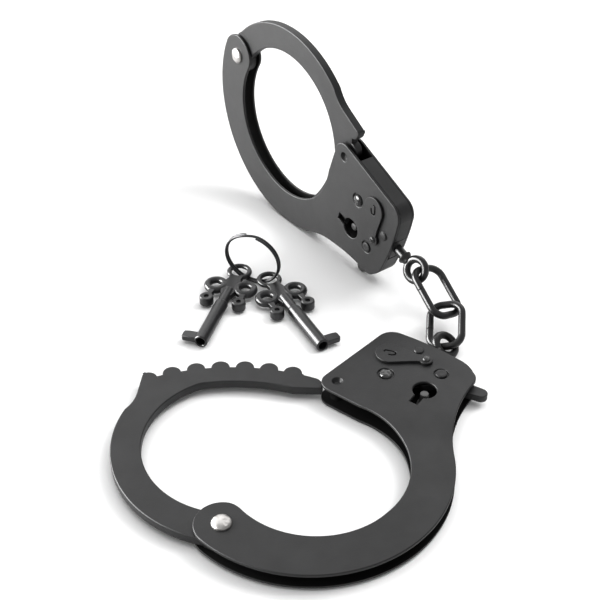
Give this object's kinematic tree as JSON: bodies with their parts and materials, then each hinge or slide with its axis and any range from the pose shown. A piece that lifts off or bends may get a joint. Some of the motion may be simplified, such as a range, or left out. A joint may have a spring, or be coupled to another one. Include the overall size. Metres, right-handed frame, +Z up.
{
  "type": "handcuffs",
  "caption": "Chain-linked double-lock handcuffs, one cuff lying open and one standing closed, with two tubular keys on a split ring.",
  "frame": {"origin": "on the table, under the centre of the flat cuff's key post, on the outer face of its back cheek plate", "axes": "+Z up; +X roughly along the flat cuff's swivel towards the chain; +Y across the table towards the standing cuff, whose plates lie in the YZ plane"},
  "size_m": [0.1329, 0.1931, 0.0761],
  "materials": {
    "black_coat": "satin",
    "chain_black": "semi-gloss",
    "key_black": "semi-gloss",
    "ring_steel": "gloss",
    "bright_steel": "satin",
    "dark_steel": "satin"
  },
  "bodies": {
    "flat_cuff": {"flat_front_plate": "black_coat", "flat_back_plate": "black_coat", "flat_edge_band": "black_coat", "flat_corner_band": "black_coat", "flat_swivel_bush": "dark_steel", "flat_pivot_rivet": "bright_steel", "flat_pawl_pin": "black_coat", "flat_release_pin": "black_coat", "flat_key_post": "dark_steel", "flat_stop_stud": "black_coat", "flat_safety_rivet": "black_coat", "flat_pawl_spring": "dark_steel"},
    "flat_jaw": {"flat_jaw": "black_coat"},
    "flat_pawl": {"flat_pawl": "dark_steel"},
    "flat_release_lever": {"flat_release_lever": "black_coat"},
    "flat_safety_lever": {"flat_safety_lever": "black_coat", "flat_safety_stud": "black_coat"},
    "flat_swivel": {"flat_swivel": "chain_black"},
    "standing_cuff": {"standing_front_plate": "black_coat", "standing_back_plate": "black_coat", "standing_edge_band": "black_coat", "standing_corner_band": "black_coat", "standing_swivel_bush": "dark_steel", "standing_pivot_rivet": "bright_steel", "standing_pawl_pin": "black_coat", "standing_release_pin": "black_coat", "standing_key_post": "dark_steel", "standing_stop_stud": "black_coat", "standing_safety_rivet": "black_coat", "standing_pawl_spring": "dark_steel"},
    "standing_jaw": {"standing_jaw": "black_coat"},
    "standing_pawl": {"standing_pawl": "dark_steel"},
    "standing_release_lever": {"standing_release_lever": "black_coat"},
    "standing_safety_lever": {"standing_safety_lever": "black_coat", "standing_safety_stud": "black_coat"},
    "standing_swivel": {"standing_swivel": "chain_black"},
    "link_lower": {"link_lower": "chain_black"},
    "link_upper": {"link_upper": "chain_black"},
    "key_ring": {"split_ring": "ring_steel"},
    "left_key": {"key_left": "key_black"},
    "right_key": {"key_right": "key_black"}
  },
  "joints": [
    {"name": "flat_jaw_hinge", "type": "hinge", "parent": "flat_cuff", "child": "flat_jaw", "pos_m": [-0.07812, -0.0072, 0.0035], "axis": [0, 0, 1], "range_deg": [-26, 260]},
    {"name": "flat_release_hinge", "type": "hinge", "parent": "flat_cuff", "child": "flat_release_lever", "pos_m": [0.00918, 0.00225, 0.0035], "axis": [0, 0, 1], "range_deg": [-14.5, 0]},
    {"name": "flat_pawl_hinge", "type": "hinge", "parent": "flat_cuff", "child": "flat_pawl", "pos_m": [-0.00446, 0.01256, 0.0035], "axis": [0, 0, 1], "range_deg": [0, 9.6]},
    {"name": "flat_safety_hinge", "type": "hinge", "parent": "flat_cuff", "child": "flat_safety_lever", "pos_m": [0.00236, 0.0187, 0.0071], "axis": [0, 0, 1], "range_deg": [-35, 0]},
    {"name": "standing_jaw_hinge", "type": "hinge", "parent": "standing_cuff", "child": "standing_jaw", "pos_m": [0.0309, 0.1384, 0.05601], "axis": [-1, 0, 0], "continuous": true},
    {"name": "standing_release_hinge", "type": "hinge", "parent": "standing_cuff", "child": "standing_release_lever", "pos_m": [0.0309, 0.06122, 0.01413], "axis": [-1, 0, 0], "range_deg": [0, 14.5]},
    {"name": "standing_pawl_hinge", "type": "hinge", "parent": "standing_cuff", "child": "standing_pawl", "pos_m": [0.0309, 0.06658, 0.03037], "axis": [-1, 0, 0], "range_deg": [-9.6, 0]},
    {"name": "standing_safety_hinge", "type": "hinge", "parent": "standing_cuff", "child": "standing_safety_lever", "pos_m": [0.0273, 0.05747, 0.03154], "axis": [-1, 0, 0], "range_deg": [-35, 0]},
    {"name": "flat_swivel_turn", "type": "hinge", "parent": "flat_cuff", "child": "flat_swivel", "pos_m": [0.01644, 0.01281, 0.0035], "axis": [0.9594, 0.2821, 0], "range_deg": [-20, 0]},
    {"name": "lower_link_swing", "type": "hinge", "parent": "flat_swivel", "child": "link_lower", "pos_m": [0.02237, 0.01442, 0.00333], "axis": [0.6262, -0.7192, 0.3011], "range_deg": [-8, 8]},
    {"name": "upper_link_swing", "type": "hinge", "parent": "link_lower", "child": "link_upper", "pos_m": [0.03227, 0.02538, 0.00893], "axis": [0.6262, -0.7192, 0.3011], "range_deg": [-12, 12]},
    {"name": "standing_swivel_swing", "type": "hinge", "parent": "link_upper", "child": "standing_swivel", "pos_m": [0.03359, 0.0385, 0.01526], "axis": [0.9819, -0.081, -0.171], "range_deg": [-10, 10]},
    {"name": "standing_swivel_turn", "type": "hinge", "parent": "standing_swivel", "child": "standing_cuff", "pos_m": [0.0309, 0.04925, 0.01869], "axis": [0, -0.9496, -0.3136], "range_deg": [-20, 20]},
    {"name": "key_ring_lift", "type": "slide", "parent": "flat_cuff", "child": "key_ring", "axis": [0, 0, 1], "range_m": [0, 0.04]},
    {"name": "left_key_slide", "type": "hinge", "parent": "key_ring", "child": "left_key", "pos_m": [-0.0048, 0.0834, 0.01036], "axis": [0.861, 0.5014, 0.0849], "range_deg": [0, 35]},
    {"name": "right_key_slide", "type": "hinge", "parent": "key_ring", "child": "right_key", "pos_m": [-0.0048, 0.0834, 0.01036], "axis": [-0.861, -0.5014, -0.0849], "range_deg": [0, 35]}
  ],
  "couplings": [
    {"joint": "flat_pawl_hinge", "follows": "flat_release_hinge", "ratio": -0.65},
    {"joint": "standing_pawl_hinge", "follows": "standing_release_hinge", "ratio": -0.65}
  ]
}
